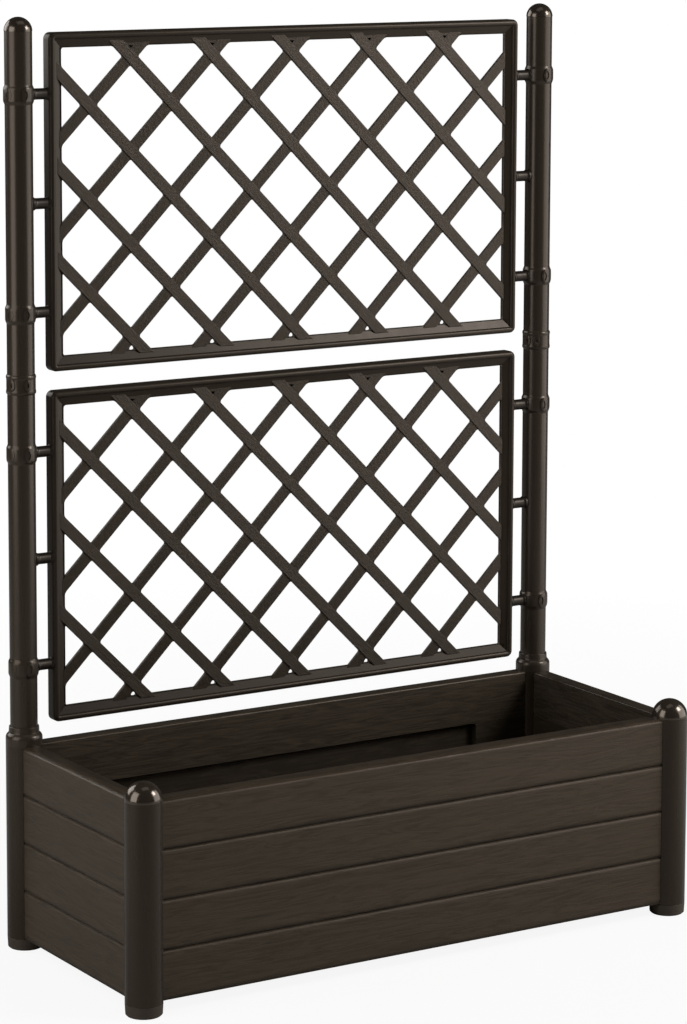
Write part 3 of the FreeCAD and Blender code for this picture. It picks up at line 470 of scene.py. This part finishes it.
# How deep the painted shade on the lower flanges is, over how much of their half width, and how far from the
# sides
FLANGE_PAINTED_SHADE, FLANGE_PAINTED_SHADE_WIDTHS, FLANGE_PAINTED_SHADE_INSET = 0.48, (0.0058, 0.0072), 0.014
FRONT_SECTION = [
    (0.0, 0.0050), (0.0004, 0.0068), (0.0015, 0.0086), (0.0030, 0.0099), (0.0046, 0.0105), (0.0062, 0.0105),
    (0.0078, 0.0101), (0.0091, 0.0091), (0.0098, 0.0078), (CREASE_INSET, 0.0064), (0.0222, 0.0018),
    (OPENING_INSET, 0.0008), (OPENING_INSET, -0.0025)]
REAR_SECTION = [(0.0040, FRAME_BACK), (0.0040, -0.0025), (CREASE_INSET, -0.0025), (OPENING_INSET, -0.0025)]


def add_frame_side(shape, section, facing):
    """Draws the panel's outline in along a section of (inset, height) points, to the front or to the rear."""
    made = bmesh.ops.create_grid(shape, x_segments=1, y_segments=1, size=0.5)["verts"]
    bmesh.ops.scale(shape, vec=(PANEL_X * 2, PANEL_Z * 2, 1.0), verts=made)
    bmesh.ops.translate(shape, vec=(0, 0, FRAME_BACK), verts=made)
    rounded = bmesh.ops.bevel(shape, geom=made, offset=PANEL_CORNER, offset_type="OFFSET", segments=8,
                              profile=0.5, affect="VERTICES", material=-1, clamp_overlap=True)
    face = widest_face(rounded["verts"][0].link_faces)
    if face.normal.z * facing < 0:
        bmesh.ops.reverse_faces(shape, faces=[face])
    inset, height = 0.0, FRAME_BACK
    for next_inset, next_height in section:
        face = draw_in(shape, face, next_inset - inset, (next_height - height) * facing)
        if next_inset == CREASE_INSET:
            # Here the rounded corners have shrunk to points, and the frame goes on with plain mitres
            middle = face.calc_center_median()
            bmesh.ops.remove_doubles(shape, verts=face.verts[:], dist=0.0008)
            face = min(shape.faces, key=lambda each: (each.calc_center_median() - middle).length)
        inset, height = next_inset, next_height
    sheets = [face for face in shape.faces if face.calc_area() > SHEET_AREA]
    bmesh.ops.delete(shape, geom=sheets, context="FACES")


def stand_up(shape, middle):
    """Turns a panel's part, drawn flat, to face the front, and lifts it to its height."""
    bmesh.ops.rotate(shape, cent=(0, 0, 0), matrix=Matrix.Rotation(math.radians(90), 3, "X"),
                     verts=shape.verts[:])
    bmesh.ops.translate(shape, vec=(0.0, POST_Y, middle), verts=shape.verts[:])


def panel_frame(middle):
    """The frame of one panel, its front and its hollow rear."""
    shape = bmesh.new()
    add_frame_side(shape, FRONT_SECTION, 1)
    add_frame_side(shape, REAR_SECTION, -1)
    bmesh.ops.remove_doubles(shape, verts=shape.verts[:], dist=0.0001)
    bmesh.ops.recalc_face_normals(shape, faces=shape.faces[:])
    stand_up(shape, middle)
    return shape


frame_resin = smooth_resin("frame_resin", FRAME_COLOUR, 0.34, 0.24)
PANELS = (("lower", node_middle("lower_trellis").z), ("upper", node_middle("upper_trellis").z))


def paint_shade_on_lower_flanges(resin):
    """Paints shade along the flange of each frame's lower member, between the panel's sides."""
    number = arithmetic(resin)
    place, parts = object_place(resin)
    flanges = [middle - PANEL_Z + (CREASE_INSET + OPENING_INSET) / 2 for level, middle in PANELS]
    off = number("MINIMUM", *[
        number("ABSOLUTE", number("SUBTRACT", parts["Z"], flange)) for flange in flanges])
    between = number("LESS_THAN", number("ABSOLUTE", parts["X"]), PANEL_X - FLANGE_PAINTED_SHADE_INSET)
    shade = number("MULTIPLY", remap(resin, off, *FLANGE_PAINTED_SHADE_WIDTHS, FLANGE_PAINTED_SHADE, 0.0), between)
    tones = resin.node_tree.nodes["Principled BSDF"].inputs["Base Color"].links[0].from_socket
    feed_shader(resin, "Base Color", add_node(resin, "VectorMath", {"operation": "SCALE"}, {
        "Vector": tones, "Scale": number("SUBTRACT", 1.0, shade)}).outputs["Vector"])


# The lower flanges get a painted shade
paint_shade_on_lower_flanges(frame_resin)
for level, middle in PANELS:
    make_piece(level + "_panel_frame", panel_frame(middle), frame_resin,
               [level + "_trellis"])


# Lattice panels, the slats. They are moulded in one with the frame and cross at right angles, with those
# that fall to the right a step in front. Their faces are finely grained, their edges softened, and the
# corners where they meet are filled round.
SLAT_COLOUR = (0.0252, 0.0188, 0.0122)
SLAT_PITCH = 0.1006 * math.sqrt(2)
SLAT_WIDTH = 0.018
SLAT_RISE = 0.0019
SLAT_STEPS = (-3.5, -2.5, -1.5, -0.5, 0.5, 1.5, 2.5, 3.5)
SLAT_EDGE = 0.0008
FALLING_FRONT, FALLING_BACK = 0.0050, -0.0005
RISING_FRONT, RISING_BACK = 0.0035, -0.0020
# How far from the panel's left, right, bottom and top edges the slats' faces end
FALLING_REACH = (0.0145, 0.0222, 0.0180, 0.0135)
RISING_REACH = (0.0185, 0.0222, 0.0190, 0.0175)
# The sheet that fills the corners: the height of its rear face, its thickness, how far it reaches under
# the slats, and how far inside the panel's outline it starts
WEB_BACK, WEB_THICKNESS = -0.0004, 0.0037
WEB_UNDER_SLATS, WEB_EDGE_INSET = 0.0001, 0.012
CORNER_FILL = 0.0042
# At the lower edge crossings triangles between these two areas are left, which become round holes
SMALL_OPENING, LARGE_OPENING = 0.00003, 0.0001
HOLE_FOOT_ROUND, HOLE_TIP_ROUND = 0.0079, 0.0031
LEAST_HOLE, HOLE_MARGIN = 0.000022, 0.0012
UPPER_CROSSINGS = (-2, -1, 0, 1, 2)
UPPER_PATCH = (0.018, 0.0085)


def slat_resin(name, lean):
    """Resin with a fine grain along the slats. A lean of 1 falls to the right."""
    resin = new_resin(name, SLAT_COLOUR, 0.45, 0.38)
    along = pattern_place(resin, (0.0011, 0.0011, 0.014), (0.0, math.radians(-45.0 * lean), 0.0))
    fibres = cloudy(resin, along, 4.0, 0.7, 0.6)
    specks = cloudy(resin, pattern_place(resin, (0.0024, 0.0024, 0.0024)), 3.0)
    height = add_node(resin, "Mix", {"data_type": "FLOAT"}, {0: 0.5, 2: fibres, 3: specks}).outputs[0]
    add_tones(resin, SLAT_COLOUR, 0.30, pattern_place(resin, (0.017, 0.017, 0.017)), height)
    add_gloss(resin, height, 0.28, 0.55)
    add_relief(resin, height, 0.0011)
    return resin


def cut(shape, point, normal, take_away=False):
    """Cuts a shape along a plane, and may take away what lies beyond it."""
    everything = shape.verts[:] + shape.edges[:] + shape.faces[:]
    bmesh.ops.bisect_plane(shape, geom=everything, dist=0.0000001, plane_co=point, plane_no=normal,
                           clear_outer=take_away)


def slats(lean, front, back, reach, middle):
    """The slats of one direction, which run out on the frame's flange at each of its four sides."""
    shape = bmesh.new()
    for step in SLAT_STEPS:
        made = bmesh.ops.create_cube(shape, size=1.0)["verts"]
        bmesh.ops.scale(shape, vec=(1.1, SLAT_WIDTH, front - back), verts=made)
        sides = [edge for edge in set(edge for corner in made for edge in corner.link_edges)
                 if abs(edge.verts[0].co.x - edge.verts[1].co.x) > 0.5]
        softened = bmesh.ops.bevel(shape, geom=sides, offset=SLAT_EDGE, offset_type="OFFSET", segments=3,
                                   profile=0.5, affect="EDGES", material=-1, clamp_overlap=True)
        made = list(set(corner for face in softened["faces"] for corner in face.verts))
        bmesh.ops.rotate(shape, cent=(0, 0, 0), matrix=Matrix.Rotation(math.radians(-45.0 * lean), 3, "Z"),
                         verts=made)
        bmesh.ops.translate(shape, vec=(SLAT_PITCH * step + SLAT_RISE * lean, 0.0, (front + back) / 2),
                            verts=made)
    left, right, bottom, top = reach
    for x, z, outwards in ((left - PANEL_X, 0, (-1, 0, 0.8)), (PANEL_X - right, 0, (1, 0, 0.8)),
                           (0, bottom - PANEL_Z, (0, -1, 0.8)), (0, PANEL_Z - top, (0, 1, 0.8))):
        cut(shape, (x, z, front), outwards, take_away=True)
    open_edges = [edge for edge in shape.edges if edge.is_boundary]
    bmesh.ops.holes_fill(shape, edges=open_edges, sides=0)
    bmesh.ops.recalc_face_normals(shape, faces=shape.faces[:])
    stand_up(shape, middle)
    return shape


def crossing_webs(middle):
    """A thinner sheet between the slats, which only shows as rounded corners and as small holes."""
    shape = bmesh.new()
    made = bmesh.ops.create_grid(shape, x_segments=1, y_segments=1, size=0.5)["verts"]
    bmesh.ops.scale(shape, vec=((PANEL_X - WEB_EDGE_INSET) * 2, (PANEL_Z - WEB_EDGE_INSET) * 2, 1.0),
                    verts=made)
    half_x, half_z = PANEL_X - OPENING_INSET, PANEL_Z - OPENING_INSET
    half_run = (SLAT_WIDTH / 2 - WEB_UNDER_SLATS) * math.sqrt(2)
    sides = [((half_x, 0, 0), (1, 0, 0)), ((-half_x, 0, 0), (-1, 0, 0)),
             ((0, half_z, 0), (0, 1, 0)), ((0, -half_z, 0), (0, -1, 0))]
    lines = [((SLAT_PITCH * step + SLAT_RISE * lean + edge, 0, 0), (1, lean, 0))
             for lean in (1, -1) for step in SLAT_STEPS for edge in (-half_run, half_run)]
    for point, normal in sides + lines:
        cut(shape, point, normal)

    def is_open(face, margin):
        """Whether a face's middle is clear of the slats and of the frame, by that margin."""
        at = face.calc_center_median_weighted()
        if abs(at.x) > half_x - margin or abs(at.y) > half_z - margin:
            return False
        return all(abs(at.x + at.y * lean - SLAT_PITCH * step - SLAT_RISE * lean) > half_run + margin * 1.4
                   for lean in (1, -1) for step in SLAT_STEPS)

    corners, tips, feet = set(), set(), set()
    for face in shape.faces:
        area = face.calc_area()
        if is_open(face, 0.0) and area > LARGE_OPENING:
            corners.update(face.verts)
        elif is_open(face, 0.0) and area > SMALL_OPENING:
            tip = min(face.verts, key=lambda corner: abs(corner.co.y))
            tips.add(tip)
            feet.update(corner for corner in face.verts if corner != tip)
    for rounded, offset in ((feet, HOLE_FOOT_ROUND), (tips, HOLE_TIP_ROUND), (corners, CORNER_FILL)):
        bmesh.ops.bevel(shape, geom=list(rounded), offset=offset, offset_type="OFFSET", segments=5,
                        profile=0.5, affect="VERTICES", material=-1, clamp_overlap=True)
    holes = [face for face in shape.faces if is_open(face, HOLE_MARGIN) and face.calc_area() > LEAST_HOLE]
    bmesh.ops.delete(shape, geom=holes, context="FACES")
    for point, outwards in sides:
        cut(shape, Vector(point) * 1.001, outwards, take_away=True)
    # Above each upper edge crossing the frame's flange runs down between the two slats
    for step in UPPER_CROSSINGS:
        made = bmesh.ops.create_grid(shape, x_segments=1, y_segments=1, size=0.5)["verts"]
        bmesh.ops.scale(shape, vec=(*UPPER_PATCH, 1.0), verts=made)
        bmesh.ops.translate(shape, vec=(SLAT_PITCH * step, half_z, 0.0), verts=made)
    sheet = bmesh.ops.extrude_face_region(shape, geom=shape.faces[:])["geom"]
    bmesh.ops.translate(shape, vec=(0, 0, WEB_THICKNESS),
                        verts=[item for item in sheet if isinstance(item, bmesh.types.BMVert)])
    bmesh.ops.translate(shape, vec=(0, 0, WEB_BACK), verts=shape.verts[:])
    bmesh.ops.recalc_face_normals(shape, faces=shape.faces[:])
    stand_up(shape, middle)
    return shape


falling_resin = slat_resin("slat_resin_falling", 1)
rising_resin = slat_resin("slat_resin_rising", -1)
for level, middle in PANELS:
    falling = slats(1, FALLING_FRONT, FALLING_BACK, FALLING_REACH, middle)
    rising = slats(-1, RISING_FRONT, RISING_BACK, RISING_REACH, middle)
    for name, shape, resin, crease in (("falling_slats", falling, falling_resin, 10.0),
                                       ("rising_slats", rising, rising_resin, 10.0),
                                       ("crossing_webs", crossing_webs(middle), rising_resin, 25.0)):
        make_piece("%s_%s" % (level, name), shape, resin, [level + "_trellis"], crease)


# Lattice panels, the studs. Three short thick studs on each side of a panel, moulded on. Their tenons go
# into the poles, the outer ones through the clip rings. They are polished, and flare at both ends.
# Their colour is painted shade: the same resin as the frame, made darker because the poles and the frame keep
# most light off them
STUD_SHADED_COLOUR = (0.012, 0.0095, 0.0075)
STUD_LIFTS = (-0.164, 0.0, 0.164)
RING_FACE, POLE_FACE = 0.0215, 0.0195  # from the pole's axis to where a stud meets a ring or the bare pole
# Points of (distance from the pole's axis, radius), from inside the frame to near the pole
STUD_SECTION = [(0.0490, 0.0), (0.0490, 0.0104), (0.0470, 0.0102), (0.0458, 0.0097), (0.0450, 0.0090),
                (0.0440, 0.0085), (0.0270, 0.0085), (0.0250, 0.0088), (0.0236, 0.0096), (0.0228, 0.0104)]


def panel_studs(middle):
    """The six studs of one panel."""
    studs = bmesh.new()
    for side in (-1, 1):
        for lift in STUD_LIFTS:
            end = POLE_FACE if lift == 0.0 else RING_FACE
            corners = [studs.verts.new((POST_X - out, radius, 0.0))
                       for out, radius in STUD_SECTION + [(end, 0.0106), (end, 0.0)]]
            edges = [studs.edges.new(pair) for pair in zip(corners, corners[1:])]
            bmesh.ops.spin(studs, geom=corners + edges, cent=(0, 0, 0), axis=(1, 0, 0),
                           angle=2 * math.pi, steps=40, use_merge=True, use_duplicate=False)
            fresh = [corner for corner in studs.verts if not corner.tag]
            bmesh.ops.remove_doubles(studs, verts=fresh, dist=0.000001)
            fresh = [corner for corner in studs.verts if not corner.tag]
            bmesh.ops.scale(studs, vec=(side, 1.0, 1.0), verts=fresh)
            bmesh.ops.translate(studs, vec=(0.0, POST_Y, middle + lift), verts=fresh)
            for corner in fresh:
                corner.tag = True
    bmesh.ops.recalc_face_normals(studs, faces=studs.faces[:])
    return studs


shaded_stud_resin = smooth_resin("shaded_stud_resin", STUD_SHADED_COLOUR, 0.38, 0.35)
for level, middle in PANELS:
    make_piece(level + "_panel_studs", panel_studs(middle), shaded_stud_resin, [level + "_trellis"])


# Studio. A wide white floor that keeps a faint shadow, white all round for the camera, and softboxes: a key
# from the front right, a large one to each side that draws the bright lines along the poles, a weak one above
# and one that lights the back.
ground_mesh = bpy.data.meshes.new("studio_floor")
disc = bmesh.new()
bmesh.ops.create_circle(disc, cap_ends=True, segments=96, radius=30.0)
disc.to_mesh(ground_mesh)
disc.free()
floor = bpy.data.objects.new("studio_floor", ground_mesh)
bpy.context.scene.collection.objects.link(floor)
floor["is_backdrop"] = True

# The camera sees the ground as white as a lit sheet of paper, with a trace of the shadow near the object
WHITE = (1.0, 1.0, 1.0, 1.0)
SHADOW_DISTANCES, WHITE_SHARES = (1.0, 2.6), (0.9, 1.0)
GROUND_GREY, GROUND_SEEN = 0.5, 0.8  # what lights the object from below, and what the camera sees
ground = bpy.data.materials.new("studio_floor")
ground.use_nodes = True
ground.node_tree.nodes.clear()
seen = add_node(ground, "LightPath", {}, {}).outputs["Is Camera Ray"]
place = add_node(ground, "TexCoord", {}, {}).outputs["Object"]
away = add_node(ground, "VectorMath", {"operation": "LENGTH"}, {0: place}).outputs["Value"]
share = arithmetic(ground)("MULTIPLY", remap(ground, away, *SHADOW_DISTANCES, *WHITE_SHARES), seen)
matt = add_node(ground, "BsdfDiffuse", {}, {
    "Color": remap(ground, seen, 0.0, 1.0, GROUND_GREY, GROUND_SEEN)})
paper = add_node(ground, "Emission", {}, {"Color": WHITE, "Strength": 1.0})
either = add_node(ground, "MixShader", {}, {0: share, 1: matt.outputs[0], 2: paper.outputs[0]})
add_node(ground, "OutputMaterial", {}, {"Surface": either.outputs[0]})
ground_mesh.materials.append(ground)

ROOM_LIGHT = 0.035
world = bpy.data.worlds.new("studio")
bpy.context.scene.world = world
world.use_nodes = True
world.node_tree.nodes.clear()
seen = add_node(world, "LightPath", {}, {}).outputs["Is Camera Ray"]
room = add_node(world, "Background", {}, {"Color": WHITE, "Strength": ROOM_LIGHT})
paper = add_node(world, "Background", {}, {"Color": WHITE, "Strength": 1.0})
either = add_node(world, "MixShader", {}, {0: seen, 1: room.outputs[0], 2: paper.outputs[0]})
add_node(world, "OutputWorld", {}, {"Surface": either.outputs[0]})


AIM = Vector((0.0, 0.0, 0.6))


def add_softbox(name, azimuth, elevation, distance, width, height, power):
    """A softbox aimed at the object. azimuth is in degrees from front to right, power in watts."""
    lamp = bpy.data.lights.new(name, "AREA")
    lamp.shape = "RECTANGLE"
    lamp.size = width
    lamp.size_y = height
    lamp.energy = power
    holder = bpy.data.objects.new(name, lamp)
    bpy.context.scene.collection.objects.link(holder)
    turn, lift = math.radians(azimuth), math.radians(elevation)
    away = Vector((math.sin(turn) * math.cos(lift), -math.cos(turn) * math.cos(lift), math.sin(lift)))
    holder.location = AIM + away * distance
    holder.rotation_euler = away.to_track_quat("Z", "Y").to_euler()


add_softbox("key_softbox", 50.0, 34.0, 4.0, 1.3, 1.3, 77.0)
add_softbox("left_softbox", -86.0, 17.0, 3.0, 1.9, 2.6, 50.0)
add_softbox("right_softbox", 59.0, 13.0, 3.0, 2.9, 2.6, 57.0)
add_softbox("top_softbox", 0.0, 80.0, 3.0, 2.0, 1.2, 4.0)
add_softbox("back_softbox", -148.0, 26.0, 3.6, 2.2, 2.0, 44.0)


# Camera. It stands at the front left, 1.67 m up, and sees the whole planter as the photograph does. Its lens
# is shifted down a little, so that the posts and poles stay nearly upright.
CAMERA_PLACE = (-2.8327, -4.4796, 1.6731)
YAW, PITCH, ROLL = math.radians(32.135), math.radians(7.494), math.radians(0.19)
SENSOR_WIDTH = 36.0
PICTURE_HEIGHT, FOCAL_PIXELS = 1024, 3512.5
LENS_SHIFT = -0.2
camera_data = bpy.data.cameras.new("camera")
camera_data.sensor_width = SENSOR_WIDTH
camera_data.lens = FOCAL_PIXELS / PICTURE_HEIGHT * SENSOR_WIDTH
camera_data.shift_y = LENS_SHIFT
camera_data.clip_end = 100.0
camera = bpy.data.objects.new("camera", camera_data)
bpy.context.scene.collection.objects.link(camera)
camera.matrix_world = (
    Matrix.Translation(CAMERA_PLACE)
    @ Matrix.Rotation(-YAW, 4, "Z")
    @ Matrix.Rotation(math.radians(90) - PITCH, 4, "X")
    @ Matrix.Rotation(ROLL, 4, "Z"))
bpy.context.scene.camera = camera
bpy.context.scene.view_settings.view_transform = "Standard"

sizes = [[list(corner) for corner in box] for box in (cad_box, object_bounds())]
